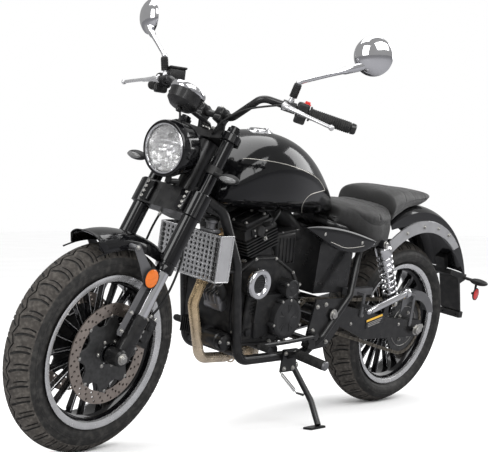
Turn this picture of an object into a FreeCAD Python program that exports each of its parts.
import FreeCAD, Part
import math
import os
import Sketcher
from FreeCAD import Placement, Rotation, Vector

# A middleweight cruiser motorcycle parked on its side stand.
# Millimetres, +X forward, +Y to the rider's left, +Z up.
# Pieces are drawn on the upright machine: X = 0 is the rear axle, Y = 0 the wheel plane, Z = 0 the road.
# The parked placement then leans the whole machine onto its stand.

os.makedirs("parts", exist_ok=True)
doc = FreeCAD.newDocument("cruiser_motorcycle")

# Driving dimensions
SIZES = {
    # wheels and stance
    "wheelbase": 1458,
    "park_lean": 11,
    "park_steer": 2.7,
    "front_radius": 314,
    "front_crown": 57,
    "rear_radius": 307,
    "rear_crown": 84,
    "front_lip_radius": 231,
    "rear_lip_radius": 228,
    "bead_radius": 218.5,
    "front_rim_half": 58,
    "rear_rim_half": 62,
    "rim_wall": 9,
    "tyre_wall": 8,
    "seat_gap": 0.3,
    "spoke_pairs": 10,
    "spoke_width": 8,
    "spoke_depth": 20,
    "hub_radius": 38,
    "plate_bore": 30,
    "front_nose_half": 71,
    "rear_nose_half": 92,
    "front_hub_half": 46,
    "rear_hub_half": 62,
    "front_axle_radius": 9,
    "rear_axle_radius": 9,
    "bearing_gap": 0.05,
    # front brake and rear drive
    "disc_radius": 150,
    "disc_band": 42,
    "disc_thick": 4.5,
    "disc_plane": 66,
    "rear_disc_radius": 120,
    "rear_disc_plane": 84,
    "sprocket_teeth": 40,
    "drive_teeth": 15,
    "chain_pitch": 15.875,
    "chain_plane": 88,
    "sprocket_thick": 6,
    # steering
    "rake": 27,
    "axle_lead": 17,
    "stem_setback": 32,
    "leg_spacing": 200,
    "outer_tube_radius": 26,
    "upper_tube_radius": 20,
    "lower_tube_radius": 19,
    "leg_top": 762,
    "leg_step": 281,
    "leg_casting_top": 133,
    "lower_clamp_height": 500,
    "upper_clamp_height": 730,
    "lower_clamp_thick": 76,
    "upper_clamp_thick": 25,
    "head_tube_radius": 32,
    # handlebar
    "bar_radius": 11,
    "grip_radius": 17,
    "grip_length": 125,
    "bar_half_width": 400,
    # frame
    "frame_tube_radius": 16,
    "rail_radius": 13,
    "brace_radius": 12,
    "cradle_half": 113,
    "swingarm_half": 120,
    "arm_height": 66,
    "arm_thick": 26,
    "swing_pivot_x": 520,
    "drive_x": 596,
    "drive_z": 397,
    "swing_pivot_z": 395,
    "shock_top_x": 288,
    "shock_top_z": 632,
    "shock_foot_x": 176,
    "shock_foot_z": 414,
    "shock_plane": 140,
    "spring_radius": 27,
    "spring_wire": 5,
    "spring_coils": 7,
    # bodywork
    "rear_fender_radius": 400,
    "rear_fender_half": 106,
    # side stand
    "stand_pivot_x": 650,
    "stand_pivot_y": 112,
    "stand_pivot_z": 222,
    "stand_pin_radius": 6,
    "header_radius": 17,
    "stand_foot_x": 653,
    "stand_foot_y": 265,
    "stand_leg_radius": 10,
    "strut_hole_radius": 4.25,
    "plate_screw_radius": 3.25,
    "outlet_radius": 27,
    "outlet_depth": 118,
    "moving_gap": 0.3,
}

sheet = doc.addObject("Spreadsheet::Sheet", "Sizes")
for row, (alias, value) in enumerate(SIZES.items(), start=1):
    sheet.set("A%d" % row, alias)
    sheet.set("B%d" % row, str(value))
    sheet.setAlias("B%d" % row, alias)
doc.recompute()


class Dim:
    """A size with its value and the sheet expression that drives it."""

    def __init__(self, value, text):
        self.value = float(value)
        self.text = text

    def __add__(self, other):
        other = dim(other)
        return Dim(self.value + other.value, "(%s + %s)" % (self.text, other.text))

    def __sub__(self, other):
        other = dim(other)
        return Dim(self.value - other.value, "(%s - %s)" % (self.text, other.text))

    def __mul__(self, other):
        other = dim(other)
        return Dim(self.value * other.value, "(%s * %s)" % (self.text, other.text))

    def __truediv__(self, other):
        other = dim(other)
        return Dim(self.value / other.value, "(%s / %s)" % (self.text, other.text))

    def __neg__(self):
        return Dim(-self.value, "(0 - %s)" % self.text)

    __radd__ = __add__
    __rmul__ = __mul__

    def __rsub__(self, other):
        return dim(other) - self


def dim(number):
    """A plain number, or a size already made, as a size."""
    return number if isinstance(number, Dim) else Dim(number, "%.6g" % number)


def size(alias):
    """The sheet's value of one driving dimension, with its expression."""
    return Dim(sheet.get(alias), "Sizes.%s" % alias)


def root(square):
    """The square root of a size."""
    return Dim(math.sqrt(square.value), "sqrt(%s)" % square.text)


def bind(item, name, amount):
    """Sets a property and drives it from the sheet."""
    amount = dim(amount)
    whole = isinstance(getattr(item, name), int)
    setattr(item, name, round(amount.value) if whole else amount.value)
    if "Sizes." in amount.text:
        item.setExpression(name, amount.text)


# Parked stance
def unit(x, y, z):
    return Vector(x, y, z).normalize()


UP = Vector(0, 0, 1)
RAKE = math.radians(size("rake").value)
FORK_UP = Vector(-math.sin(RAKE), 0, math.cos(RAKE))
FORK_FRONT = Vector(math.cos(RAKE), 0, math.sin(RAKE))
FRONT_AXLE = Vector(size("wheelbase").value, 0, size("front_radius").value)
REAR_AXLE = Vector(0, 0, size("rear_radius").value)
LEG_BASE = FRONT_AXLE - FORK_FRONT * size("axle_lead").value
STEM_BASE = LEG_BASE - FORK_FRONT * size("stem_setback").value
FORK_FRAME = Placement(LEG_BASE, Rotation(Vector(0, 1, 0), -size("rake").value))


def turn_about(point, axis, angle):
    """Rotation in degrees about an axis through a point."""
    turn = Rotation(axis, angle)
    return Placement(point - turn.multVec(point), turn)


STEERED = turn_about(STEM_BASE, FORK_UP, size("park_steer").value)


def tyre_low(stance, centre, axle, radius, crown):
    """Height of the lowest point of a leaning tyre."""
    middle = stance.multVec(centre)
    tilt = stance.Rotation.multVec(axle).z
    return middle.z - ((radius - crown) * math.sqrt(1 - tilt * tilt) + crown)


def solve_stance():
    """Leans the machine and sets both tyres on the floor."""
    lift = 0
    pitch = 0
    for _ in range(40):
        lean = Rotation(Vector(1, 0, 0), -size("park_lean").value)
        stance = Placement(Vector(0, 0, lift), Rotation(Vector(0, 1, 0), pitch) * lean)
        steered = stance * STEERED
        front = tyre_low(steered, FRONT_AXLE, Vector(0, 1, 0), size("front_radius").value, size("front_crown").value)
        rear = tyre_low(stance, REAR_AXLE, Vector(0, 1, 0), size("rear_radius").value, size("rear_crown").value)
        lift -= rear
        pitch += math.degrees((front - rear) / size("wheelbase").value)
    return stance


STANCE = solve_stance()
PIECES = []


def show(item, label, group="frame"):
    """Registers a finished piece and parks it with its body."""
    item.Label = label
    PIECES.append((item, label, group, item.Placement.copy()))
    return item


# Drawing helpers
def new_body(name):
    return doc.addObject("PartDesign::Body", name)


def origin_item(body, role):
    return [item for item in body.Origin.OriginFeatures if item.Role == role][0]


def sketch_on(body, name, role, offset=0):
    """Sketch on one of a body's own planes, moved along its normal."""
    sketch = body.newObject("Sketcher::SketchObject", name)
    sketch.AttachmentSupport = (origin_item(body, role), [""])
    sketch.MapMode = "FlatFace"
    offset = dim(offset)
    sketch.AttachmentOffset = Placement(Vector(0, 0, offset.value), Rotation())
    if "Sizes." in offset.text:
        sketch.setExpression("AttachmentOffset.Base.z", offset.text)
    return sketch


def constrain(sketch, kind, target, amount):
    """One dimension of a sketch, driven by the sheet where it names a size."""
    amount = dim(amount)
    index = sketch.addConstraint(Sketcher.Constraint(kind, *target, amount.value))
    if "Sizes." in amount.text:
        sketch.setExpression("Constraints[%d]" % index, amount.text)


def arc_edge(start, end, radius, centre_left):
    """The short arc between two points, and whether it runs from start to end."""
    chord = end - start
    half = chord.Length / 2
    reach = math.sqrt(max(radius * radius - half * half, 0))
    left = Vector(-chord.y, chord.x, 0).normalize()
    middle = (start + end) * 0.5
    centre = middle + left * (reach if centre_left else -reach)
    first, last = (start, end) if centre_left else (end, start)
    angle_first = math.atan2(first.y - centre.y, first.x - centre.x)
    angle_last = math.atan2(last.y - centre.y, last.x - centre.x)
    circle = Part.Circle(centre, Vector(0, 0, 1), radius)
    return Part.ArcOfCircle(circle, angle_first, angle_last)


def outline(sketch, corners, arcs=None):
    """Closed outline through corners; arcs maps an edge to its radius and whether its centre is on the left."""
    arcs = arcs or {}
    corners = [(dim(x), dim(y)) for x, y in corners]
    points = [Vector(x.value, y.value, 0) for x, y in corners]
    edges = []
    for number, start in enumerate(points):
        end = points[(number + 1) % len(points)]
        if number in arcs:
            radius, left = arcs[number]
            index = sketch.addGeometry(arc_edge(start, end, dim(radius).value, left), False)
            edges.append((index, 1, 2) if left else (index, 2, 1))
        else:
            index = sketch.addGeometry(Part.LineSegment(start, end), False)
            edges.append((index, 1, 2))
    for number, (index, first, last) in enumerate(edges):
        after, after_first, _ = edges[(number + 1) % len(edges)]
        sketch.addConstraint(Sketcher.Constraint("Coincident", index, last, after, after_first))
        x, y = corners[number]
        constrain(sketch, "DistanceX", (-1, 1, index, first), x)
        constrain(sketch, "DistanceY", (-1, 1, index, first), y)
        if number in arcs:
            constrain(sketch, "Radius", (index,), arcs[number][0])
    return sketch


def ring(sketch, radius, x=0, y=0):
    """A circle of a given radius about a given centre."""
    radius, x, y = dim(radius), dim(x), dim(y)
    index = sketch.addGeometry(Part.Circle(Vector(x.value, y.value, 0), Vector(0, 0, 1), radius.value), False)
    constrain(sketch, "DistanceX", (-1, 1, index, 3), x)
    constrain(sketch, "DistanceY", (-1, 1, index, 3), y)
    constrain(sketch, "Radius", (index,), radius)
    return sketch


def pad(body, sketch, length, middle=True, reverse=False):
    feature = body.newObject("PartDesign::Pad", sketch.Name + "_pad")
    feature.Profile = sketch
    if middle:
        feature.SideType = "Symmetric"
    feature.Reversed = reverse
    bind(feature, "Length", length)
    doc.recompute()
    return feature


def pocket(body, sketch, length, middle=True, reverse=False):
    """Cuts a sketch through; the volume must fall."""
    before = body.Shape.Volume
    feature = body.newObject("PartDesign::Pocket", sketch.Name + "_pocket")
    feature.Profile = sketch
    if middle:
        feature.SideType = "Symmetric"
    feature.Reversed = reverse
    bind(feature, "Length", length)
    doc.recompute()
    if body.Shape.Volume >= before:
        raise ValueError("%s cuts nothing" % sketch.Name)
    return feature


def revolve(body, sketch, axis="V_Axis", angle=360, middle=False):
    feature = body.newObject("PartDesign::Revolution", sketch.Name + "_revolution")
    feature.Profile = sketch
    feature.ReferenceAxis = (sketch, [axis])
    feature.Midplane = middle
    bind(feature, "Angle", angle)
    doc.recompute()
    return feature


def polar(body, features, role, count):
    """Repeats features about one of the body's own axes."""
    pattern = body.newObject("PartDesign::PolarPattern", features[0].Name + "_ring")
    pattern.Originals = features
    pattern.Axis = (origin_item(body, role), [""])
    pattern.Angle = 360
    bind(pattern, "Occurrences", count)
    body.Tip = pattern
    doc.recompute()
    return pattern


def place_along(item, start, direction):
    """Puts a cylinder's or cone's foot at a point, pointing along a direction."""
    item.Placement = Placement(start, Rotation(UP, direction))
    return item


def rod(name, radius, start, end):
    """A round bar between two points."""
    item = doc.addObject("Part::Cylinder", name)
    bind(item, "Radius", radius)
    item.Height = (end - start).Length
    return place_along(item, start, end - start)


def block(name, low, high):
    """A box between two corners."""
    item = doc.addObject("Part::Box", name)
    item.Length = high.x - low.x
    item.Width = high.y - low.y
    item.Height = high.z - low.z
    item.Placement.Base = low
    return item


def fuse(name, items):
    item = doc.addObject("Part::MultiFuse", name)
    item.Shapes = items
    doc.recompute()
    return item


def cut(name, base, tool):
    item = doc.addObject("Part::Cut", name)
    item.Base = base
    item.Tool = tool
    doc.recompute()
    return item


def group_solids(name, items):
    """Solids that don't touch, kept as one piece of the list."""
    item = doc.addObject("Part::Compound", name)
    item.Links = items
    doc.recompute()
    return item


def mirrored(name, source):
    """The right-hand twin of a left-hand piece."""
    item = doc.addObject("Part::Mirroring", name)
    item.Source = source
    item.Normal = Vector(0, 1, 0)
    doc.recompute()
    return item


def shaped(name, shape):
    """A piece whose form comes from the Part functions."""
    item = doc.addObject("Part::Feature", name)
    item.Shape = shape
    return item


def path(points, bend):
    """Straight runs joined by tangent arcs."""
    edges = []
    start = points[0]
    for number in range(1, len(points) - 1):
        corner = points[number]
        back = (points[number - 1] - corner).normalize()
        ahead = (points[number + 1] - corner).normalize()
        half = back.getAngle(ahead) / 2
        reach = bend / math.tan(half)
        first = corner + back * reach
        last = corner + ahead * reach
        inward = (back + ahead).normalize()
        middle = corner + inward * (bend / math.sin(half) - bend)
        edges.append(Part.LineSegment(start, first).toShape())
        edges.append(Part.Arc(first, middle, last).toShape())
        start = last
    edges.append(Part.LineSegment(start, points[-1]).toShape())
    return Part.Wire(edges)


def tube(points, radius, bend):
    """A bent round tube along a path."""
    wire = path(points, bend)
    profile = Part.Wire(Part.Circle(points[0], points[1] - points[0], radius).toShape())
    return wire.makePipeShell([profile], True, False)


def oval(x, half, low, high, squareness, count=16):
    """A closed smooth section across the machine at one X."""
    points = []
    middle = (low + high) / 2
    rise = (high - low) / 2
    for number in range(count):
        turn = 2 * math.pi * number / count
        side = math.cos(turn)
        lift = math.sin(turn)
        y = half * math.copysign(abs(side) ** squareness, side)
        z = middle + rise * math.copysign(abs(lift) ** squareness, lift)
        points.append(Vector(x, y, z))
    curve = Part.BSplineCurve()
    curve.interpolate(points, PeriodicFlag=True)
    return Part.Wire(curve.toShape())


def loft(sections):
    return Part.makeLoft(sections, True, False)


def mirror_y(shape):
    return shape.mirror(Vector(0, 0, 0), Vector(0, 1, 0))


# Wheels
def spoked_rim(name, lip, half, hub_half, axle, nose_half):
    """Cast rim, hub with a nose for the plates beside it, and paired spokes turned about the axle."""
    body = new_body(name)
    bead = size("bead_radius")
    hub = sketch_on(body, name + "_hub", "XY_Plane")
    bore = axle + size("bearing_gap")
    nose = size("plate_bore") - size("seat_gap")
    outline(hub, [
        (bore, -nose_half),
        (nose, -nose_half),
        (nose, -hub_half),
        (size("hub_radius"), -hub_half),
        (size("hub_radius"), hub_half),
        (nose, hub_half),
        (nose, nose_half),
        (bore, nose_half),
    ])
    revolve(body, hub)
    spokes = sketch_on(body, name + "_spokes", "XZ_Plane")
    width = size("spoke_width")
    inner = size("hub_radius") - 4
    outer = bead - 12 - size("rim_wall") + 3
    for side in (1, -1):
        outline(spokes, [
            (inner, side * 10 - width / 2),
            (outer, side * 24 - width / 2),
            (outer, side * 24 + width / 2),
            (inner, side * 10 + width / 2),
        ])
    first = pad(body, spokes, size("spoke_depth"))
    polar(body, [first], "Y_Axis", size("spoke_pairs"))
    band = sketch_on(body, name + "_band", "XY_Plane")
    well = bead - 12
    side = [
        (lip, half),
        (lip - 6, half + 0.5),
        (bead - size("rim_wall"), half - 4),
        (bead - size("rim_wall"), half - 24),
        (well - size("rim_wall"), half - 36),
    ]
    seat = [
        (well, half - 34),
        (bead, half - 20),
        (bead, half - 8),
        (lip, half - 4),
    ]
    below = [(x, -dim(y)) for x, y in reversed(side)]
    above = [(x, -dim(y)) for x, y in reversed(seat)]
    outline(band, seat + side + below + above)
    revolve(body, band)
    return body


def front_tyre():
    body = new_body("front_tyre_body")
    profile = sketch_on(body, "front_tyre_section", "XY_Plane")
    crown = size("front_crown")
    centre = size("front_radius") - crown
    flank = size("front_rim_half") - 8 - size("seat_gap")
    foot = size("bead_radius") + size("seat_gap")
    inside = flank - size("tyre_wall")
    cavity = crown - size("tyre_wall")
    outer = centre - root(crown * crown - flank * flank)
    inner = centre - root(cavity * cavity - inside * inside)
    outline(profile, [
        (foot, -flank),
        (outer, -flank),
        (size("front_radius"), 0),
        (outer, flank),
        (foot, flank),
        (foot, inside),
        (inner, inside),
        (size("front_radius") - size("tyre_wall"), 0),
        (inner, -inside),
        (foot, -inside),
    ], {1: (crown, True), 2: (crown, True), 6: (cavity, False), 7: (cavity, False)})
    revolve(body, profile)
    return body


def rear_tyre():
    body = new_body("rear_tyre_body")
    profile = sketch_on(body, "rear_tyre_section", "XY_Plane")
    crown = size("rear_crown")
    centre = size("rear_radius") - crown
    flank = size("rear_rim_half") - 8 - size("seat_gap")
    foot = size("bead_radius") + size("seat_gap")
    inside = flank - size("tyre_wall")
    cavity = crown - size("tyre_wall")
    shoulder = 60
    hollow = 52
    outer = centre + root(crown * crown - shoulder * shoulder)
    inner = centre + root(cavity * cavity - hollow * hollow)
    outline(profile, [
        (foot, -flank),
        (foot + 12, -flank),
        (outer, -shoulder),
        (size("rear_radius"), 0),
        (outer, shoulder),
        (foot + 12, flank),
        (foot, flank),
        (foot, inside),
        (foot + 14, inside),
        (inner, hollow),
        (size("rear_radius") - size("tyre_wall"), 0),
        (inner, -hollow),
        (foot + 14, -inside),
        (foot, -inside),
    ], {
        1: (27, True), 2: (crown, True), 3: (crown, True), 4: (27, True),
        8: (25, False), 9: (cavity, False), 10: (cavity, False), 11: (25, False),
    })
    revolve(body, profile)
    return body


def brake_disc(name, radius, plane, bore):
    """A flat ring on a windowed carrier, square to the axle at one plane."""
    body = new_body(name)
    plate = sketch_on(body, name + "_plate", "XZ_Plane", -dim(plane))
    ring(plate, radius)
    ring(plate, bore)
    pad(body, plate, size("disc_thick"))
    window = sketch_on(body, name + "_window", "XZ_Plane", -dim(plane))
    inner = dim(bore) + 20
    outer = dim(radius) - size("disc_band") - 4
    outline(window, [(inner, -9), (outer, -20), (outer, 20), (inner, 9)])
    first = pocket(body, window, size("disc_thick") * 2)
    polar(body, [first], "Y_Axis", 8)
    return body


def sprocket(name, teeth, plane, bore):
    """A toothed wheel for the drive chain."""
    body = new_body(name)
    plate = sketch_on(body, name + "_plate", "XZ_Plane", -dim(plane))
    pitch_radius = size("chain_pitch").value / (2 * math.sin(math.pi / teeth))
    corners = []
    for number in range(teeth):
        for part, rise in ((-0.32, -4.5), (-0.12, 5), (0.12, 5), (0.32, -4.5)):
            turn = 2 * math.pi * (number + part) / teeth
            corners.append(Vector((pitch_radius + rise) * math.cos(turn), (pitch_radius + rise) * math.sin(turn), 0))
    for number, start in enumerate(corners):
        plate.addGeometry(Part.LineSegment(start, corners[(number + 1) % len(corners)]), False)
    for number in range(len(corners)):
        plate.addConstraint(Sketcher.Constraint("Coincident", number, 2, (number + 1) % len(corners), 1))
        plate.addConstraint(Sketcher.Constraint("Block", number))
    ring(plate, bore)
    pad(body, plate, size("sprocket_thick"))
    return body


def at_axle(item, centre):
    item.Placement = Placement(centre, Rotation())
    return item


front_rim = spoked_rim("front_rim_body", size("front_lip_radius"), size("front_rim_half"),
                       size("front_hub_half"), size("front_axle_radius"), size("front_nose_half"))
show(at_axle(front_rim, FRONT_AXLE), "front_rim", "front_wheel")
show(at_axle(front_tyre(), FRONT_AXLE), "front_tyre", "front_wheel")
left_disc = brake_disc("front_disc_body", size("disc_radius"), size("disc_plane"), size("plate_bore"))
right_disc = mirrored("front_disc_twin", left_disc)
show(at_axle(group_solids("front_disc_pair", [left_disc, right_disc]), FRONT_AXLE), "front_discs", "front_wheel")

rear_rim = spoked_rim("rear_rim_body", size("rear_lip_radius"), size("rear_rim_half"),
                      size("rear_hub_half"), size("rear_axle_radius"), size("rear_nose_half"))
show(at_axle(rear_rim, REAR_AXLE), "rear_rim", "rear_wheel")
show(at_axle(rear_tyre(), REAR_AXLE), "rear_tyre", "rear_wheel")
show(at_axle(brake_disc("rear_disc_body", size("rear_disc_radius"), -size("rear_disc_plane"), size("plate_bore")), REAR_AXLE),
     "rear_disc", "rear_wheel")
show(at_axle(sprocket("rear_sprocket_body", SIZES["sprocket_teeth"], size("chain_plane"), size("plate_bore")), REAR_AXLE),
     "rear_sprocket", "rear_wheel")
doc.recompute()


# Steering
def in_fork(item):
    """Moves a piece drawn in the fork's own frame to its place on the upright machine."""
    item.Placement = FORK_FRAME * item.Placement
    return item


LEG_Y = size("leg_spacing").value / 2
STEM_X = -size("stem_setback").value
LOWER = size("lower_clamp_height").value
UPPER = size("upper_clamp_height").value
LOWER_CLAMP = size("lower_clamp_thick").value
UPPER_CLAMP = size("upper_clamp_thick").value
YOKE_FOOT = LOWER - LOWER_CLAMP / 2
YOKE_TOP = UPPER + UPPER_CLAMP / 2
LEG_TOP = size("leg_top").value
STEP = size("leg_step").value
CASTING = size("leg_casting_top").value
OUTER_R = size("outer_tube_radius").value
UPPER_R = size("upper_tube_radius").value
LOWER_R = size("lower_tube_radius").value
STEM_R = 14


def clamp_plate(name, height, thick, setback, nose):
    """One fork yoke: two bored ears joined across the stem."""
    body = new_body(name)
    plate = sketch_on(body, name + "_plate", "XY_Plane", height)
    ear = size("upper_tube_radius") + 11
    reach = size("leg_spacing") / 2
    outline(plate, [
        (-ear, -reach - ear * 0.55),
        (ear * 0.6, -reach - ear),
        (ear, -reach),
        (nose, -reach * 0.35),
        (nose, reach * 0.35),
        (ear, reach),
        (ear * 0.6, reach + ear),
        (-ear, reach + ear * 0.55),
        (-ear, reach * 0.6),
        (-dim(setback), reach * 0.3),
        (-dim(setback), -reach * 0.3),
        (-ear, -reach * 0.6),
    ])
    pad(body, plate, thick)
    for side in (1, -1):
        bore = sketch_on(body, "%s_bore_%s" % (name, "left" if side > 0 else "right"), "XY_Plane", height)
        ring(bore, size("upper_tube_radius") + size("seat_gap"), 0, reach * side)
        pocket(body, bore, thick * 2)
    return body


lower_yoke = clamp_plate("lower_yoke", size("lower_clamp_height"), size("lower_clamp_thick"), 62, 26)
upper_yoke = clamp_plate("upper_yoke", size("upper_clamp_height"), size("upper_clamp_thick"), 58, 12)
stem = rod("stem", STEM_R, Vector(STEM_X, 0, YOKE_FOOT), Vector(STEM_X, 0, YOKE_TOP + 14))


def headlamp_stay():
    """Arm from the lower yoke up to the lamp bowl, in the fork's own frame."""
    foot = Vector(12, 0, LOWER + LOWER_CLAMP / 2 - 4)
    back = FORK_FRAME.inverse()
    return tube([foot, foot + UP * 22, back.multVec(Vector(1243, 0, 808)), back.multVec(Vector(1243, 0, 824))], 9, 4)


yokes = fuse("yokes", [lower_yoke, upper_yoke, stem, shaped("headlamp_arm", headlamp_stay())])
show(in_fork(yokes), "triple_clamps", "steering")


def fork_tube(side):
    """Black outer tube of one leg: wide below the lower yoke, slim above it, with a stepped foot and a cap."""
    y = LEG_Y * side
    name = "left" if side > 0 else "right"
    shoulder = YOKE_FOOT - size("seat_gap").value
    outer = rod("outer_" + name, size("outer_tube_radius"), Vector(0, y, STEP + 30), Vector(0, y, shoulder))
    slim = rod("slim_" + name, size("upper_tube_radius"), Vector(0, y, shoulder), Vector(0, y, LEG_TOP))
    foot = rod("outer_foot_" + name, OUTER_R - 2.5, Vector(0, y, STEP), Vector(0, y, STEP + 30))
    cap = rod("cap_" + name, UPPER_R - 5, Vector(0, y, LEG_TOP), Vector(0, y, LEG_TOP + 8))
    body = fuse("outer_leg_" + name, [outer, slim, foot, cap])
    hole = rod("outer_bore_" + name, LOWER_R + 0.3, Vector(0, y, STEP - 1), Vector(0, y, STEP + 60))
    return cut("outer_bored_" + name, body, hole)


show(in_fork(group_solids("outer_legs", [fork_tube(1), fork_tube(-1)])), "fork_outer_tubes", "steering")


def fork_slider(side):
    """Chrome inner tube and the black axle casting of one leg."""
    y = LEG_Y * side
    name = "left" if side > 0 else "right"
    chrome = rod("inner_" + name, size("lower_tube_radius"), Vector(0, y, CASTING - 40), Vector(0, y, STEP + 55))
    casting = doc.addObject("Part::Cone", "casting_" + name)
    casting.Radius1 = 24
    casting.Radius2 = 26
    casting.Height = CASTING - 20
    casting.Placement.Base = Vector(0, y, 20)
    lead = size("axle_lead").value
    lug = rod("axle_lug_" + name, 24, Vector(lead, y + side * 24, 0), Vector(lead, y - side * 22, 0))
    heel = block("casting_heel_" + name, Vector(-20, y - 20, 0), Vector(lead, y + 20, 40))
    stay = block("stay_" + name, Vector(12, y - side * 4 - 3.5, CASTING - 60), Vector(40, y - side * 4 + 3.5, STEP - 8))
    return fuse("slider_" + name, [chrome, casting, lug, heel, stay])


axle = rod("front_axle", size("front_axle_radius"), Vector(SIZES["axle_lead"], -LEG_Y - 30, 0),
           Vector(SIZES["axle_lead"], LEG_Y + 30, 0))
show(in_fork(fuse("sliders", [fork_slider(1), fork_slider(-1), axle])), "fork_sliders", "steering")


def caliper(side):
    """A caliper astride one disc, bolted behind the leg casting."""
    y = side * SIZES["disc_plane"]
    name = "left" if side > 0 else "right"
    lead = SIZES["axle_lead"]
    body = block("caliper_body_" + name, Vector(-98, y - 17, 66), Vector(-44, y + 17, 152))
    slot = rod("caliper_slot_" + name, size("disc_radius") + 5.2, Vector(lead, y - 7.3, 0), Vector(lead, y + 7.3, 0))
    jaw = cut("caliper_jaw_" + name, body, slot)
    inner, outer = sorted((y + side * 17, y + side * 29))
    arm = block("caliper_arm_" + name, Vector(-70, inner, 80), Vector(-25.2, outer, 112))
    return fuse("caliper_" + name, [jaw, arm])


show(in_fork(group_solids("caliper_pair", [caliper(1), caliper(-1)])), "front_calipers", "steering")


# Handlebar
BAR_R = size("bar_radius").value
BAR_HALF = size("bar_half_width").value
BAR_END = Vector(942, BAR_HALF, 1054)
BAR_BEND = Vector(1098, 185, 1098)
BAR_ROOT = Vector(1092, 78, 1018)
BAR_RUN = (BAR_END - BAR_BEND).normalize()


def flip(point):
    return Vector(point.x, -point.y, point.z)


def along_bar(distance):
    """Point on the left grip line, measured inwards from the bar end."""
    return BAR_END - BAR_RUN * distance


def handlebar():
    bar = tube([flip(BAR_END), flip(BAR_BEND), flip(BAR_ROOT), BAR_ROOT, BAR_BEND, BAR_END], BAR_R, 42)
    items = [bar]
    for side in (1, -1):
        foot = FORK_FRAME.multVec(Vector(-18, side * 38, YOKE_TOP + 0.3))
        middle = Vector(BAR_ROOT.x, side * 38, BAR_ROOT.z)
        items.append(Part.makeCylinder(15, 16, foot, FORK_UP))
        items.append(Part.makeCylinder(13, (middle - foot).Length - 10, foot + FORK_UP * 6, middle - foot))
        items.append(Part.makeCylinder(22, 30, middle - Vector(0, 15, 0), Vector(0, 1, 0)))
    return items[0].multiFuse(items[1:])


show(shaped("handlebar_body", handlebar()), "handlebar", "steering")


def both_sides(shape):
    """A left-hand shape with its right-hand twin."""
    return Part.makeCompound([shape, mirror_y(shape)])


def grips():
    length = size("grip_length").value
    radius = size("grip_radius").value
    gap = size("seat_gap").value
    sleeve = Part.makeCylinder(radius, length + 4, along_bar(length), BAR_RUN)
    flange = Part.makeCylinder(radius + 5, 5, along_bar(length), BAR_RUN)
    weight = Part.makeCylinder(radius - 1, 14, along_bar(-3), BAR_RUN)
    bore = Part.makeCylinder(BAR_R + gap, length + 1.5, along_bar(length + 1), BAR_RUN)
    return both_sides(sleeve.fuse([flange, weight]).cut(bore))


show(shaped("grip_pair", grips()), "grips", "steering")


SWITCH_START = size("grip_length").value + 2
SWITCH_LENGTH = 38
PERCH_LENGTH = 46
MIRROR_BOSS = along_bar(SWITCH_START + SWITCH_LENGTH + 22)
BOSS_HEIGHT = 26
MIRROR_NECK = Vector(1050, 272, 1160)
MIRROR_RISE = (MIRROR_NECK - MIRROR_BOSS).normalize()


def controls():
    """Switch blocks, perches with the mirror bosses, and the levers in front of the grips."""
    bar_front = BAR_RUN.cross(UP).normalize()
    switch = Part.makeCylinder(21, SWITCH_LENGTH, along_bar(SWITCH_START + SWITCH_LENGTH), BAR_RUN)
    perch = Part.makeCylinder(16, PERCH_LENGTH, along_bar(SWITCH_START + SWITCH_LENGTH + PERCH_LENGTH - 2), BAR_RUN)
    boss = Part.makeCylinder(10, BOSS_HEIGHT, MIRROR_BOSS, MIRROR_RISE)
    hinge = along_bar(SWITCH_START + SWITCH_LENGTH + 32)
    lug = Part.makeCylinder(9, 30, hinge + bar_front * 4, bar_front)
    lever_root = hinge + bar_front * 30
    lever_tip = Vector(1060, 420, 1052)
    lever = Part.makeCylinder(6, (lever_tip - lever_root).Length, lever_root, lever_tip - lever_root)
    ball = Part.makeSphere(9, lever_tip)
    shape = switch.fuse([perch, boss, lug, lever, ball])
    bore = Part.makeCylinder(BAR_R + size("seat_gap").value, 120, along_bar(SWITCH_START + 110), BAR_RUN)
    return both_sides(shape.cut(bore))


show(shaped("control_pair", controls()), "hand_controls", "steering")


def mirrors():
    """Round domed mirrors on tapered stems."""
    foot = MIRROR_BOSS + MIRROR_RISE * (BOSS_HEIGHT + size("seat_gap").value)
    neck = MIRROR_NECK
    centre = Vector(960, 450, 1270)
    inward = Vector(-0.935, -0.354, 0.05).normalize()
    rim_radius = 57
    dome_height = 24
    dome_radius = (rim_radius ** 2 + dome_height ** 2) / (2 * dome_height)
    dome_edge = math.degrees(math.asin((dome_radius - dome_height) / dome_radius))
    sleeve = Part.makeCylinder(8, (neck - foot).Length, foot, neck - foot)
    stem_end = centre - inward * 12 - Vector(0, 20, 30)
    stem = Part.makeCone(6.5, 4.5, (stem_end - neck).Length, neck, stem_end - neck)
    knuckle = Part.makeSphere(8, neck)
    dome = Part.makeSphere(dome_radius, centre + inward * (dome_radius - dome_height), inward * -1, dome_edge, 90, 360)
    rim = Part.makeCylinder(rim_radius, 7, centre - inward * 0.5, inward)
    return both_sides(sleeve.multiFuse([knuckle, stem, dome, rim]))


show(shaped("mirror_pair", mirrors()), "mirrors", "steering")


# Lamps and instruments
def headlamp_shell():
    body = new_body("headlamp_shell_body")
    profile = sketch_on(body, "headlamp_profile", "XZ_Plane")
    outline(profile, [
        (0, 70), (8, 78), (8, 83), (-20, 83), (-70, 74), (-104, 46), (-118, 0), (-112, 0), (-98, 42),
        (-66, 70), (-4, 79), (-4, 70),
    ])
    revolve(body, profile, "H_Axis")
    body.Placement.Base = Vector(1276, 0, 906)
    return body


def headlamp_lens():
    body = new_body("headlamp_lens_body")
    profile = sketch_on(body, "lens_profile", "XZ_Plane")
    outline(profile, [(6.3, 0), (6.3, 69.7), (0.3, 69.7), (-3.7, 69.7), (-3.7, 0)])
    revolve(body, profile, "H_Axis")
    body.Placement.Base = Vector(1276, 0, 906)
    return body


show(headlamp_shell(), "headlamp_shell", "steering")
show(headlamp_lens(), "headlamp_lens", "steering")


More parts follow.
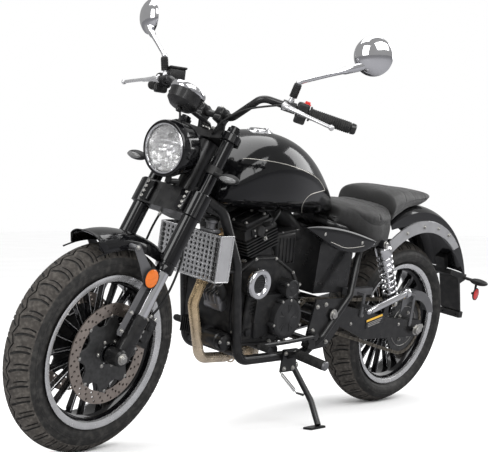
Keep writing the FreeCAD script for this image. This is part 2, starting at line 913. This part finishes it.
def speedometer():
    body = new_body("speedometer_body")
    profile = sketch_on(body, "cup_profile", "XZ_Plane")
    outline(profile, [(0, 0), (34, 0), (48, 14), (50, 48), (54, 48), (54, 60), (46, 60), (46, 55), (0, 55)])
    revolve(body, profile, "V_Axis")
    axis = Vector(-0.5, 0, 0.87)
    body.Placement = Placement(Vector(1244, 0, 1030), Rotation(UP, axis))
    return body


def speedometer_arm():
    foot = FORK_FRAME.multVec(Vector(-4, 0, YOKE_TOP + 0.3))
    return tube([foot, foot + FORK_UP * 18, Vector(1190, 0, 1022), Vector(1240, 0, 1028)], 7, 12)


show(fuse("speedometer_set", [speedometer(), shaped("speedometer_arm", speedometer_arm())]), "speedometer", "steering")


def signal(root_point, tip, half_height, half_depth):
    """A leaf-shaped lamp on a short stalk."""
    run = tip - root_point
    stalk = Part.makeCylinder(6, run.Length * 0.4, root_point, run)
    bulb = Part.makeSphere(1, Vector(0, 0, 0))
    matrix = FreeCAD.Matrix()
    matrix.scale(half_depth, run.Length * 0.36, half_height)
    bulb = bulb.transformGeometry(matrix)
    bulb.translate(root_point + run * 0.64)
    return stalk.fuse(bulb).removeSplitter()


leg_point = FORK_FRAME.multVec(Vector(0, LEG_Y, 604))
collar = Part.makeCylinder(UPPER_R + 6, 26, leg_point, FORK_UP)
collar = collar.cut(Part.makeCylinder(UPPER_R + 0.3, 40, leg_point - FORK_UP * 5, FORK_UP))
stub_start = leg_point + FORK_UP * 13 + Vector(20, 22, 0)
front_signal = signal(stub_start, Vector(1198, 225, 850), 15, 19).fuse(collar)
front_signal = front_signal.cut(Part.makeCylinder(UPPER_R + 0.3, 60, leg_point - FORK_UP * 15, FORK_UP))
show(shaped("front_signal_pair", both_sides(front_signal)), "front_turn_signals", "steering")


def mudguard(name, radius, thick, half, skirt, first, last, centre):
    """An arched guard turned about a line across the machine."""
    body = new_body(name)
    profile = sketch_on(body, name + "_section", "XY_Plane")
    outline(profile, [
        (radius - skirt, -half),
        (radius - 18, -half),
        (radius, -half * 0.45),
        (radius, half * 0.45),
        (radius - 18, half),
        (radius - skirt, half),
        (radius - skirt, half - thick),
        (radius - 18 - thick * 0.5, half - thick),
        (radius - thick, half * 0.42),
        (radius - thick, -half * 0.42),
        (radius - 18 - thick * 0.5, -half + thick),
        (radius - skirt, -half + thick),
    ], {1: (half * 0.9, True), 2: (half * 3, True), 3: (half * 0.9, True),
        7: (half * 0.9 - thick, False), 8: (half * 3 - thick, False), 9: (half * 0.9 - thick, False)})
    revolve(body, profile, "V_Axis", last - first)
    body.Placement = Placement(centre, Rotation(Vector(0, 1, 0), -last))
    return body


front_guard = mudguard("front_guard", 350, 3, 70, 44, 68, 122, FRONT_AXLE)
lugs = []
for side in (1, -1):
    lug_at = FORK_FRAME.multVec(Vector(0, side * 66, STEP + 46))
    lugs.append(Part.makeCylinder(9, LEG_Y - OUTER_R - 66.3, lug_at, Vector(0, side, 0)))
front_guard_lugs = shaped("front_guard_lugs", Part.makeCompound(lugs))
show(fuse("front_guard_set", [front_guard, front_guard_lugs]), "front_fender", "steering")


# Frame
SILENCER_START = Vector(470, -206, 262)
SILENCER_END = Vector(-90, -212, 330)
SILENCER_RUN = (SILENCER_END - SILENCER_START).normalize()
RAIL_Y = size("cradle_half").value
TUBE_R = size("frame_tube_radius").value
ARM_Y = size("swingarm_half").value
ARM_T = size("arm_thick").value
PIVOT = Vector(size("swing_pivot_x").value, 0, size("swing_pivot_z").value)
PLATE_Y = ARM_Y + ARM_T / 2 + 3
PLATE_T = 8
STAND_PIVOT = Vector(size("stand_pivot_x").value, size("stand_pivot_y").value, size("stand_pivot_z").value)
STAND_FOOT = STANCE.inverse().multVec(Vector(size("stand_foot_x").value, size("stand_foot_y").value, 0))
STAND_AXIS = unit(-0.25, 1, 0.255)
STAND_EYE_R = 14
STAND_EYE_T = 14
STEM_LOW = LOWER + LOWER_CLAMP / 2 + 3
STEM_HIGH = UPPER - UPPER_CLAMP / 2 - 3


def stem_point(along):
    return STEM_BASE + FORK_UP * along


def gusset(side):
    """Flat plate that stiffens the corner between head tube, spine and down tube."""
    corners = [(1150, 800), (1128, 860), (985, 835), (1012, 700), (1080, 720)]
    inner = side * 20
    wire = Part.makePolygon([Vector(x, inner, z) for x, z in corners + corners[:1]])
    return Part.Face(wire).extrude(Vector(0, side * 7, 0))


def frame_tubes():
    head = Part.makeCylinder(size("head_tube_radius").value, STEM_HIGH - STEM_LOW, stem_point(STEM_LOW), FORK_UP)
    spine_start = stem_point((STEM_LOW + STEM_HIGH) / 2 + 20)
    spine = tube([spine_start, Vector(980, 0, 842), Vector(600, 0, 742), Vector(500, 0, 676)], 24, 40)
    items = [head, spine]
    for x, z in ((980, 830), (640, 741)):
        items.append(Part.makeCylinder(8, 59.4, Vector(x, -29.7, z), Vector(0, 1, 0)))
    for side in (1, -1):
        for z, x, y in ((550, 1000, 113), (634, 1024, 97)):
            items.append(Part.makeCylinder(6, 1058.7 - x, Vector(x, side * y, z), Vector(1, 0, 0)))
        down = [
            stem_point(STEM_LOW + 20) + Vector(0, side * 14, 0),
            Vector(1058, side * 74, 730),
            Vector(1004, side * RAIL_Y, 570),
            Vector(936, side * RAIL_Y, 258),
            Vector(600, side * RAIL_Y, 258),
            Vector(524, side * (RAIL_Y + 10), 330),
        ]
        items.append(tube(down, TUBE_R, 58))
        rail = [
            Vector(546, 0, 706),
            Vector(514, side * 84, 686),
            Vector(400, side * 92, 670),
            Vector(186, side * 92.7, 617),
        ]
        items.append(tube(rail, size("rail_radius").value, 30))
        brace = [
            Vector(338, side * 92, 655),
            Vector(372, side * 108, 612),
            Vector(440, side * 148, 456),
            Vector(562, side * 148, 318),
            Vector(600, side * RAIL_Y, 258),
        ]
        items.append(tube(brace, size("brace_radius").value, 24))
        items.append(gusset(side))
        items.append(Part.makeCylinder(6, 127.7 - 100, Vector(370, side * 100, 641), Vector(0, side, 0)))
        for x, z in ((430, 676), (292, 643)):
            items.append(Part.makeCylinder(9, 703.7 - z, Vector(x, side * 92, z), UP))
    return items


def pivot_plate(side):
    """Plate that carries the swinging arm and the rider's pegs."""
    inner = side * PLATE_Y
    corners = [(636, 330), (604, 276), (520, 283), (462, 352), (442, 446), (614, 449)]
    wire = Part.makePolygon([Vector(x, inner, z) for x, z in corners + corners[:1]])
    return Part.Face(wire).extrude(Vector(0, side * PLATE_T, 0))


def main_frame():
    items = frame_tubes() + [pivot_plate(1), pivot_plate(-1)]
    for side in (1, -1):
        link = Part.makeCylinder(9, PLATE_Y - RAIL_Y + 8, Vector(612, side * RAIL_Y, 290), Vector(0, side, 0))
        items.append(link)
        boss_start = Vector(size("shock_top_x").value, side * 93, size("shock_top_z").value)
        items.append(Part.makeCylinder(12, size("shock_plane").value - 13.3 - 93, boss_start, Vector(0, side, 0)))
    for x, z, radius in ((560, 294, 12), (930, 283.7, 16), (756, 279.2, 16)):
        items.append(Part.makeCylinder(radius, 2 * RAIL_Y, Vector(x, -RAIL_Y, z), Vector(0, 1, 0)))
    lug_face = STAND_PIVOT - STAND_AXIS * (STAND_EYE_T / 2 + size("moving_gap").value)
    lug_length = 20
    items.append(Part.makeCylinder(16, lug_length, lug_face, STAND_AXIS * -1))
    pin_radius = size("stand_pin_radius").value
    items.append(Part.makeCylinder(pin_radius, lug_length + STAND_EYE_T + 6, lug_face - STAND_AXIS * lug_length, STAND_AXIS))
    lug_stay = Vector(655.5, 88, 216)
    items.append(Part.makeCylinder(7, 47, lug_stay, Vector(655.5, 99, 262) - lug_stay))
    items.append(Part.makeBox(188, 164, 222, Vector(372, -82, 452)))
    hanger_start = Vector(508, -PLATE_Y - 4, 330)
    items.append(Part.makeCylinder(8, 150, hanger_start, SILENCER_START + SILENCER_RUN * 82 - hanger_start))
    shape = items[0].multiFuse(items[1:])
    bore = Part.makeCylinder(STEM_R + 0.05, 400, stem_point(STEM_LOW - 40), FORK_UP)
    hole = Part.makeCylinder(11.05, 400, PIVOT - Vector(0, 200, 0), Vector(0, 1, 0))
    pipe = Part.makeCylinder(47.3, 600, SILENCER_START, SILENCER_RUN)
    return shape.cut(bore).cut(hole).cut(pipe)


show(shaped("frame_body", main_frame()), "main_frame")


# Rear suspension and drive
def swingarm():
    height = size("arm_height").value
    items = []
    for side in (1, -1):
        inner = side * (ARM_Y - ARM_T / 2)
        corners = [
            (PIVOT.x + 24, PIVOT.z - 14), (PIVOT.x + 24, PIVOT.z + 20), (PIVOT.x - 60, PIVOT.z + 26),
            (120, REAR_AXLE.z + 44), (-44, REAR_AXLE.z + 30), (-60, REAR_AXLE.z),
            (-44, REAR_AXLE.z - 30), (300, REAR_AXLE.z - height / 2 + 14),
        ]
        wire = Part.makePolygon([Vector(x, inner, z) for x, z in corners + corners[:1]])
        items.append(Part.Face(wire).extrude(Vector(0, side * ARM_T, 0)))
        low = REAR_AXLE.z + 30
        clevis = Part.makeBox(26, size("shock_plane").value - 14 - (ARM_Y - 4), size("shock_foot_z").value + 14 - low,
                              Vector(size("shock_foot_x").value - 13, ARM_Y - 4, low))
        items.append(clevis if side > 0 else mirror_y(clevis))
    cross = Part.makeCylinder(22, 2 * ARM_Y, Vector(PIVOT.x, -ARM_Y, PIVOT.z), Vector(0, 1, 0))
    brace = Part.makeCylinder(18, 2 * ARM_Y - ARM_T, Vector(380, -ARM_Y + ARM_T / 2, 372), Vector(0, 1, 0))
    pin = Part.makeCylinder(11, 2 * (PLATE_Y + PLATE_T) + 16, PIVOT - Vector(0, PLATE_Y + PLATE_T + 8, 0), Vector(0, 1, 0))
    axle = Part.makeCylinder(size("rear_axle_radius").value, 2 * ARM_Y + ARM_T + 30,
                             REAR_AXLE - Vector(0, ARM_Y + ARM_T / 2 + 15, 0), Vector(0, 1, 0))
    items.extend([cross, brace, pin, axle])
    return items[0].multiFuse(items[1:]).removeSplitter()


show(shaped("swingarm_body", swingarm()), "swingarm")


def shock(side):
    """Coil-over damper: eyes, body, spring seats and the coils round it."""
    plane = side * size("shock_plane").value
    top = Vector(size("shock_top_x").value, plane, size("shock_top_z").value)
    foot = Vector(size("shock_foot_x").value, plane, size("shock_foot_z").value)
    run = (top - foot).normalize()
    length = (top - foot).Length
    radius = size("spring_radius").value
    wire = size("spring_wire").value
    items = [
        Part.makeCylinder(13, 26, top - Vector(0, 13, 0), Vector(0, 1, 0)),
        Part.makeCylinder(13, 26, foot - Vector(0, 13, 0), Vector(0, 1, 0)),
        Part.makeCylinder(7, length, foot, run),
        Part.makeCylinder(radius + 3, 30, top - run * 44, run),
        Part.makeCylinder(radius + 2, 8, foot + run * 24, run),
        Part.makeCylinder(radius - wire - 1, 70, top - run * 110, run),
    ]
    start = 32
    span = length - 44 - start
    count = int(size("spring_coils").value)
    pitch = span / count
    profile = [Vector(0, 0, start)]
    for number in range(count):
        low = start + number * pitch
        profile.append(Vector(radius - wire, 0, low))
        profile.append(Vector(radius + wire * 0.4, 0, low + pitch * 0.2))
        profile.append(Vector(radius + wire * 0.4, 0, low + pitch * 0.5))
        profile.append(Vector(radius - wire, 0, low + pitch * 0.7))
    profile.append(Vector(radius - wire, 0, start + span))
    profile.append(Vector(0, 0, start + span))
    face = Part.Face(Part.makePolygon(profile + profile[:1]))
    coils = face.revolve(Vector(0, 0, 0), UP, 360)
    coils.Placement = Placement(foot, Rotation(UP, run))
    items.append(coils)
    return items[0].multiFuse(items[1:])


show(shaped("shock_pair", Part.makeCompound([shock(1), shock(-1)])), "rear_shocks")


def chain_loop():
    """Chain as one closed loop of plates round both sprockets."""
    big = size("chain_pitch").value * size("sprocket_teeth").value / (2 * math.pi) + 11
    small = size("chain_pitch").value * size("drive_teeth").value / (2 * math.pi) + 11
    near = Vector(REAR_AXLE.x, REAR_AXLE.z, 0)
    far = Vector(size("drive_x").value, size("drive_z").value, 0)

    def belt(first, second):
        gap = far - near
        turn = math.atan2(gap.y, gap.x)
        spread = math.acos((first - second) / gap.Length)
        edges = []
        points = []
        for centre, reach in ((near, first), (far, second)):
            for sign in (1, -1):
                angle = turn + sign * spread
                points.append(centre + Vector(math.cos(angle), math.sin(angle), 0) * reach)
        back = near - gap.normalize() * first
        nose = far + (far - near).normalize() * second
        edges.append(Part.LineSegment(points[0], points[2]).toShape())
        edges.append(Part.Arc(points[2], nose, points[3]).toShape())
        edges.append(Part.LineSegment(points[3], points[1]).toShape())
        edges.append(Part.Arc(points[1], back, points[0]).toShape())
        return Part.Face(Part.Wire(edges))

    band = belt(big, small).cut(belt(big - 5, small - 5))
    solid = band.extrude(Vector(0, 0, 14))
    solid.rotate(Vector(0, 0, 0), Vector(1, 0, 0), 90)
    solid.translate(Vector(0, size("chain_plane").value + 7, 0))
    return solid


show(shaped("chain_body", chain_loop()), "drive_chain")


def chain_guard():
    """Arched side guard over the rear sprocket with the chrome tube ahead of it."""
    outer = Part.makeCylinder(141, 50, REAR_AXLE + Vector(0, 76, 0), Vector(0, 1, 0))
    hollow = Part.makeCylinder(137, 46, REAR_AXLE + Vector(0, 76, 0), Vector(0, 1, 0))
    window = Part.makeCylinder(106, 60, REAR_AXLE + Vector(0, 76, 0), Vector(0, 1, 0))
    return outer.cut(hollow).cut(window)


# Engine
def engine_case():
    body = new_body("engine_case_body")
    side = sketch_on(body, "case_side", "XZ_Plane")
    outline(side, [
        (940, 300), (972, 350), (985, 440), (975, 545), (900, 590), (800, 590), (700, 540), (655, 470),
        (650, 400), (668, 330), (740, 296),
    ], {1: (200, True), 2: (200, True), 6: (150, True)})
    pad(body, side, 190)
    return body


show(engine_case(), "engine_crankcase")


def cylinder_block():
    """Finned cylinders and head leaning forward over the crankcase."""
    lean = Placement(Vector(872, 0, 590.3), Rotation(Vector(0, 1, 0), 20))
    items = []
    barrel = Part.makeBox(116, 170, 70, Vector(-58, -85, 14))
    items.append(barrel)
    for number in range(6):
        items.append(Part.makeBox(146, 214, 3.5, Vector(-73, -107, 20 + number * 10)))
    head = Part.makeBox(136, 196, 32, Vector(-68, -98, 76))
    cover = Part.makeBox(100, 186, 14, Vector(-50, -93, 106))
    items.extend([head, cover])
    shape = items[0].multiFuse(items[1:]).removeSplitter()
    shape.Placement = lean
    foot = Part.makeBox(116, 170, 40, Vector(-58, -85, -20))
    foot.Placement = lean
    return shape.fuse(foot).removeSplitter().cut(Part.makeBox(400, 400, 60, Vector(700, -200, 530.3)))


show(shaped("cylinder_body", cylinder_block()), "engine_cylinders")


def engine_covers():
    """Round covers on both flanks of the crankcase."""
    items = []
    face = 95
    bezel = Part.makeCylinder(44, 43, Vector(917, face, 513), Vector(0, 1, 0))
    bezel = bezel.fuse(Part.makeTorus(40, 9, Vector(917, face + 43, 513), Vector(0, 1, 0)))
    big = Part.makeCylinder(66, 46, Vector(750, face, 392), Vector(0, 1, 0))
    small = Part.makeCylinder(32, 44, Vector(745, face, 487), Vector(0, 1, 0))
    left = bezel.multiFuse([big, small, Part.makeBox(150, 26, 90, Vector(740, face, 380))])
    clutch = Part.makeCylinder(82, 48, Vector(790, -face, 430), Vector(0, -1, 0))
    pump = Part.makeCylinder(44, 30, Vector(896, -face, 420), Vector(0, -1, 0))
    right = clutch.fuse(pump)
    return Part.makeCompound([left, right])


show(shaped("covers_body", engine_covers()), "engine_covers")


def finish_guard():
    """Keeps the arched part of the guard and adds the tube and its ball end."""
    arch = chain_guard()
    keep = Part.makeBox(232, 60, 100, Vector(-148, 70, REAR_AXLE.z + 54))
    chain_room = Part.makeBox(40, 46, 140, Vector(56, 76, REAR_AXLE.z + 40))
    arch = arch.common(keep).cut(chain_room)
    rear = Vector(150, ARM_Y + 65, 463)
    front = Vector(361, ARM_Y + 65, 407)
    run = (front - rear).normalize()
    rod_piece = Part.makeCylinder(11, (front - rear).Length, rear, run)
    collar = Part.makeCylinder(16, 22, rear, run)
    ball = Part.makeSphere(10, front + run * 6)
    arm_side = ARM_Y + ARM_T / 2 + size("seat_gap").value
    hanger = Part.makeBox(14, 4, 120, Vector(20, arm_side, 320))
    bridge = Part.makeBox(14, arm_side + 4 - 118, 22, Vector(20, 118, 418))
    tie_start = Vector(28, arm_side + 2, 434)
    tie = Part.makeCylinder(5, (rear - tie_start).Length, tie_start, rear - tie_start)
    post = Part.makeBox(12, 6, 84, Vector(334, arm_side, 372))
    shelf = Part.makeBox(12, rear.y - arm_side, 10, Vector(334, arm_side, 410))
    run_cover = Part.makeBox(142, 26, 24, Vector(256, 84, 443))
    cover_bridge = Part.makeBox(12, arm_side + 2 - 106, 10, Vector(334, 106, 446))
    return arch.multiFuse([rod_piece, collar, ball, hanger, bridge, tie, post, shelf, run_cover, cover_bridge])


show(shaped("guard_body", finish_guard()), "chain_guard")


# Cooling and exhaust
RAD_Y = 122


def radiator():
    """Core with side tanks behind a pierced guard with flat cheeks."""
    core = Part.makeBox(30, 2 * RAD_Y - 16, 132, Vector(1062, -RAD_Y + 8, 526))
    tank = Part.makeBox(36, 10, 132, Vector(1059, RAD_Y - 10, 526))
    other = Part.makeBox(36, 10, 132, Vector(1059, -RAD_Y, 526))
    return core.multiFuse([tank, other]).removeSplitter()


def radiator_guard():
    low, high = 520, 664
    half = RAD_Y + 6
    shell = Part.makeBox(58, 2 * half, high - low, Vector(1052, -half, low))
    inside = Part.makeBox(60, 2 * half - 5, high - low + 2, Vector(1047, -half + 2.5, low - 1))
    shell = shell.cut(inside)
    holes = []
    columns, rows = 14, 9
    for column in range(columns):
        for row in range(rows):
            y = -half + 17 + column * (2 * half - 34) / (columns - 1)
            z = low + 12 + row * (high - low - 24) / (rows - 1)
            holes.append(Part.makeBox(12, 8, 8, Vector(1100, y - 4, z - 4)))
    shell = shell.cut(Part.makeCompound(holes))
    ties = []
    for side in (1, -1):
        ties.append(Part.makeBox(20, 3, 16, Vector(1056, side * (RAD_Y + 1.5) - 1.5, 585)))
    return shell.multiFuse(ties)


show(shaped("radiator_core", radiator()), "radiator")
show(shaped("radiator_guard_body", radiator_guard()), "radiator_guard")


def headers():
    """Header pipe swept down the front and under to the right-hand side."""
    y = 17
    route = [
        Vector(969.8, y, 655.4), Vector(1016, y, 635.8), Vector(1036, y, 520), Vector(1072, y, 430),
        Vector(1006, y, 248), Vector(880, y - 6, 240), Vector(700, y * 0.6 - 62, 236),
    ]
    header = tube(route, size("header_radius").value, 46)
    joint = Part.makeCylinder(34, 60, Vector(716, -48, 236), Vector(-60, -24, -16))
    outlet = SILENCER_START - SILENCER_RUN * size("seat_gap").value
    link = tube([Vector(680, -60, 226), Vector(600, -128, 210), outlet - SILENCER_RUN * 70, outlet], 22, 34)
    return header.multiFuse([joint, link])


def silencer():
    start = SILENCER_START
    end = SILENCER_END
    run = SILENCER_RUN
    body = Part.makeCylinder(47, (end - start).Length - 60, start + run * 50, run)
    nose = Part.makeCone(24, 47, 50, start, run)
    tail = Part.makeCone(47, 36, 10, start + run * ((end - start).Length - 10), run)
    shape = body.multiFuse([nose, tail])
    depth = size("outlet_depth").value
    return shape.cut(Part.makeCylinder(size("outlet_radius").value, depth + 2, end - run * depth, run))


show(shaped("header_body", headers()), "exhaust_headers")
show(shaped("silencer_body", silencer()), "exhaust_silencer")


# Bodywork
FENDER_CENTRE = Vector(16, 0, 354)
FENDER_R = size("rear_fender_radius").value
FENDER_HALF = size("rear_fender_half").value
CROWN_BULGE = 3.9


def fuel_tank():
    stations = [
        (1080, 62, 758, 812), (1052, 116, 746, 868), (1000, 142, 738, 924), (940, 154, 732, 962),
        (870, 160, 727, 977), (780, 154, 723, 966), (690, 134, 719, 926), (600, 104, 716, 862),
        (530, 74, 716, 800), (492, 52, 718, 762),
    ]
    shape = loft([oval(x, half, low, high, 0.8) for x, half, low, high in stations])
    tunnel = Part.makeBox(640, 60, 220, Vector(470, -30, 640))
    roof = Part.makeCylinder(30, 700, Vector(1150, 0, 886), Vector(-1, 0, -0.262))
    slope = Part.makePolygon([Vector(440, -30, 640), Vector(1160, -30, 640), Vector(1160, -30, 888),
                              Vector(440, -30, 700), Vector(440, -30, 640)])
    slot = Part.Face(slope).extrude(Vector(0, 60, 0))
    recess = Part.makeCylinder(34.3, 60, Vector(860, 0, 966), Vector(0, 0, 1))
    return shape.cut(slot.fuse(roof)).cut(recess)


show(shaped("tank_body", fuel_tank()), "fuel_tank")
tank_cap = rod("tank_cap", 34, Vector(860, 0, 966.3), Vector(860, 0, 984))
show(tank_cap, "fuel_cap")


def rider_seat():
    stations = [
        (512, 94, 701, 715), (484, 98, 694, 757), (446, 112, 682, 763), (390, 136, 662, 757), (316, 146, 652, 755),
        (238, 138, 652, 764),
    ]
    shape = loft([oval(x, half, low, high, 0.62) for x, half, low, high in stations])
    channel = Part.makeBox(400, 222, 88, Vector(180, -111, 616))
    tank_room = Part.makeBox(60, 300, 60, Vector(491.4, -150, 715.5))
    rail_room = Part.makeBox(60, 100, 60, Vector(482, -50, 670))
    return shape.cut(channel).cut(tank_room).cut(rail_room)


def pillion_seat():
    stations = [
        (236, 134, 662, 803), (196, 128, 676, 809), (150, 120, 706, 810), (80, 106, 738, 806),
        (0, 94, 752, 801), (-60, 78, 762, 797), (-98, 54, 770, 789),
    ]
    crown = Part.makeCylinder(FENDER_R + CROWN_BULGE, 300, FENDER_CENTRE - Vector(0, 150, 0), Vector(0, 1, 0))
    return loft([oval(x, half, low, high, 0.62) for x, half, low, high in stations]).cut(crown)


show(shaped("rider_cushion", rider_seat()), "rider_seat")
show(shaped("pillion_cushion", pillion_seat()), "pillion_seat")


def side_cover():
    """Almond-shaped side panel between tank, seat and engine."""
    y = 128
    tip = Vector(742, y, 694)
    top = Vector(560, y, 688)
    tail = Vector(338, y, 642)
    below = Vector(560, y, 624)
    edges = [Part.Arc(tip, top, tail).toShape(), Part.Arc(tail, Vector(440, y, 610), Vector(590, y, 632)).toShape(),
             Part.LineSegment(Vector(590, y, 632), tip).toShape()]
    return Part.Face(Part.Wire(edges)).extrude(Vector(0, 18, 0))


show(shaped("side_cover_pair", both_sides(side_cover())), "side_covers")



def rear_fender():
    """Bobbed guard whose side skirts run out to nothing at the tail."""
    guard = mudguard("rear_guard", size("rear_fender_radius"), 4, size("rear_fender_half"), 74, 61, 158.5, FENDER_CENTRE)
    skirt_line = doc.addObject("Part::Cylinder", "skirt_line")
    skirt_line.Radius = 548
    skirt_line.Height = 400
    place_along(skirt_line, Vector(79, -200, 136), Vector(0, 1, 0))
    return cut("rear_guard_trimmed", guard, skirt_line)


show(rear_fender(), "rear_fender")
STRUT_Y = FENDER_HALF + size("seat_gap").value
STRUT_T = 6
STRUT_HOLES = [(2, 682), (104, 659)]


def struts():
    """Flat struts that carry the rear fender from the frame, drilled for bolts."""
    top_edge = Part.Arc(Vector(204, STRUT_Y, 629), Vector(-20, STRUT_Y, 704), Vector(-252, STRUT_Y, 604)).toShape()
    low_edge = Part.Arc(Vector(-223, STRUT_Y, 593), Vector(-12, STRUT_Y, 662), Vector(179, STRUT_Y, 592)).toShape()
    tail = Part.LineSegment(Vector(-252, STRUT_Y, 604), Vector(-223, STRUT_Y, 593)).toShape()
    nose = Part.LineSegment(Vector(179, STRUT_Y, 592), Vector(204, STRUT_Y, 629)).toShape()
    plate = Part.Face(Part.Wire([top_edge, tail, low_edge, nose])).extrude(Vector(0, STRUT_T, 0))
    holes = []
    for x, z in STRUT_HOLES:
        start = Vector(x, STRUT_Y - 1, z)
        holes.append(Part.makeCylinder(size("strut_hole_radius").value, STRUT_T + 2, start, Vector(0, 1, 0)))
    return plate.cut(Part.makeCompound(holes))


show(shaped("strut_pair", both_sides(struts())), "fender_struts")


def arc_strip(inner, outer, half, first, last):
    """A band round the rear fender's own centre."""
    whole = Part.makeCylinder(outer, 2 * half, Vector(0, -half, 0), Vector(0, 1, 0))
    whole = whole.cut(Part.makeCylinder(inner, 2 * half, Vector(0, -half, 0), Vector(0, 1, 0)))
    corners = [Vector(0, -half, 0)]
    for turn in (first, (first + last) / 2, last):
        angle = math.radians(turn)
        corners.append(Vector(1.4 * outer * math.cos(angle), -half, 1.4 * outer * math.sin(angle)))
    wedge = Part.Face(Part.makePolygon(corners + corners[:1])).extrude(Vector(0, 2 * half, 0))
    shape = whole.common(wedge)
    shape.translate(FENDER_CENTRE)
    return shape


LAMP_FOOT = FENDER_R + CROWN_BULGE + 0.3
show(shaped("tail_lamp_body", arc_strip(LAMP_FOOT, LAMP_FOOT + 12, 34, 116, 134)), "tail_lamp")
PLATE_BAR = Vector(-462, 0, 311)
BAR_DEPTH = 26
SCREW_Y = 30


def plate_bracket():
    """Number-plate carrier hung under the fender's tail, with two screw holes in its bar."""
    corners = [(-458, 474), (-338, 500), (-338, 480), (-398, 462), (-452, 326), (-462, 322), (-420, 440), (-452, 452)]
    wire = Part.makePolygon([Vector(x, -44, z) for x, z in corners + corners[:1]])
    shape = Part.Face(wire).extrude(Vector(0, 88, 0))
    bar = Part.makeBox(BAR_DEPTH, 92, 24, PLATE_BAR - Vector(BAR_DEPTH / 2, 46, 12))
    pad_piece = arc_strip(FENDER_R - 26, FENDER_R - 1.8, 20, 150, 158)
    shape = shape.multiFuse([bar, pad_piece])
    screws = []
    for side in (1, -1):
        start = PLATE_BAR + Vector(BAR_DEPTH / 2 + 1, side * SCREW_Y, 0)
        screws.append(Part.makeCylinder(size("plate_screw_radius").value, BAR_DEPTH + 2, start, Vector(-1, 0, 0)))
    return shape.cut(Part.makeCompound(screws))


show(shaped("bracket_body", plate_bracket()), "plate_bracket")
rear_signal = signal(Vector(-446, 44.3, 462), Vector(-442, 150, 458), 13, 20)
show(shaped("rear_signal_pair", both_sides(rear_signal)), "rear_turn_signals")

# Foot controls
def footpegs():
    """Rubber-covered pegs on bolted plates outside the cradle tubes."""
    items = []
    plate_face = RAIL_Y + TUBE_R + size("seat_gap").value
    for side in (1, -1):
        start = Vector(712, side * 172, 279)
        bar = Part.makeCylinder(14, 118, start, Vector(-12, side * 118, -11))
        hinge = Part.makeCylinder(10, 48, Vector(708, side * (plate_face + 4), 262), Vector(4, side * 40, 17))
        low = plate_face if side > 0 else -plate_face - 8
        plate = Part.makeBox(71, 8, 76, Vector(664, low, 209))
        items.append(bar.multiFuse([hinge, plate]))
    return Part.makeCompound(items)


def foot_levers():
    """Gear pedal on the left and brake pedal on the right."""
    items = []
    for side in (1, -1):
        y = side * 166
        arm = tube([Vector(622, y, 330), Vector(760, y, 322), Vector(900, y, 318)], 7, 60)
        toe = Part.makeCylinder(9, 48, Vector(900, y - side * 4, 318), Vector(0, side, 0))
        hub_face = PLATE_Y + PLATE_T + size("seat_gap").value
        hub = Part.makeCylinder(13, abs(y) - hub_face + 6, Vector(622, side * hub_face, 330), Vector(0, side, 0))
        items.append(arm.multiFuse([toe, hub]))
    return Part.makeCompound(items)


show(shaped("foot_control_set", Part.makeCompound([footpegs(), foot_levers()])), "foot_controls")


def rear_caliper():
    y = -SIZES["rear_disc_plane"]
    body = Part.makeBox(84, 34, 50, Vector(20, y - 17, REAR_AXLE.z + 72))
    slot = Part.makeCylinder(125.2, 14.6, REAR_AXLE + Vector(0, y - 7.3, 0), Vector(0, 1, 0))
    arm = Part.makeBox(20, 12, 76, Vector(56, -ARM_Y + ARM_T / 2 + 0.3, REAR_AXLE.z + 20))
    return body.cut(slot).fuse(arm)


show(shaped("rear_caliper_body", rear_caliper()), "rear_caliper")


# Side stand
def side_stand():
    """Bent leg with a flat foot that lies on the floor as parked."""
    down = STANCE.inverse().Rotation.multVec(Vector(0, 0, -1))
    sole = STAND_FOOT - down * 4
    run = sole - STAND_PIVOT
    knee = STAND_PIVOT + run * 0.55 + Vector(-14, 10, -6)
    leg_start = STAND_PIVOT + (knee - STAND_PIVOT).normalize() * 6
    leg = tube([leg_start, knee, sole - down * 6], size("stand_leg_radius").value, 60)
    eye = Part.makeCylinder(STAND_EYE_R, STAND_EYE_T, STAND_PIVOT - STAND_AXIS * (STAND_EYE_T / 2), STAND_AXIS)
    foot = Part.makeBox(74, 34, 7, Vector(-22, -20, 0))
    foot.Placement = Placement(Vector(size("stand_foot_x").value, size("stand_foot_y").value, 0), Rotation())
    foot = foot.transformGeometry(STANCE.inverse().toMatrix())
    bore = Part.makeCylinder(size("stand_pin_radius").value + 0.05, 60, STAND_PIVOT - STAND_AXIS * 30, STAND_AXIS)
    return leg.multiFuse([eye, foot]).cut(bore)


show(shaped("stand_leg", side_stand()), "side_stand", "stand")

# Parking and export
def parked(group):
    return STANCE * STEERED if group in ("steering", "front_wheel") else STANCE


def whole_box():
    box = FreeCAD.BoundBox()
    for item, _, _, _ in PIECES:
        mesh_points, _ = item.Shape.tessellate(0.5)
        for point in mesh_points:
            box.add(point)
    return box


for item, _, group, own in PIECES:
    item.Placement = parked(group) * own
doc.recompute()
BOX = whole_box()
CENTRE = Vector((BOX.XMin + BOX.XMax) / 2, (BOX.YMin + BOX.YMax) / 2, 0)
HOME = Placement(CENTRE * -1, Rotation())
for item, _, group, own in PIECES:
    item.Placement = HOME * parked(group) * own
doc.recompute()

for item in doc.Objects:
    if "Invalid" in item.State or "Error" in item.State:
        raise ValueError("%s failed: %s" % (item.Label, item.State))
for item, label, _, _ in PIECES:
    shape = item.Shape
    if shape.isNull() or not shape.isValid() or not shape.Solids:
        raise ValueError("%s has no sound shape" % label)
for item, label, _, _ in PIECES:
    item.Shape.exportStep("parts/%s.step" % label)
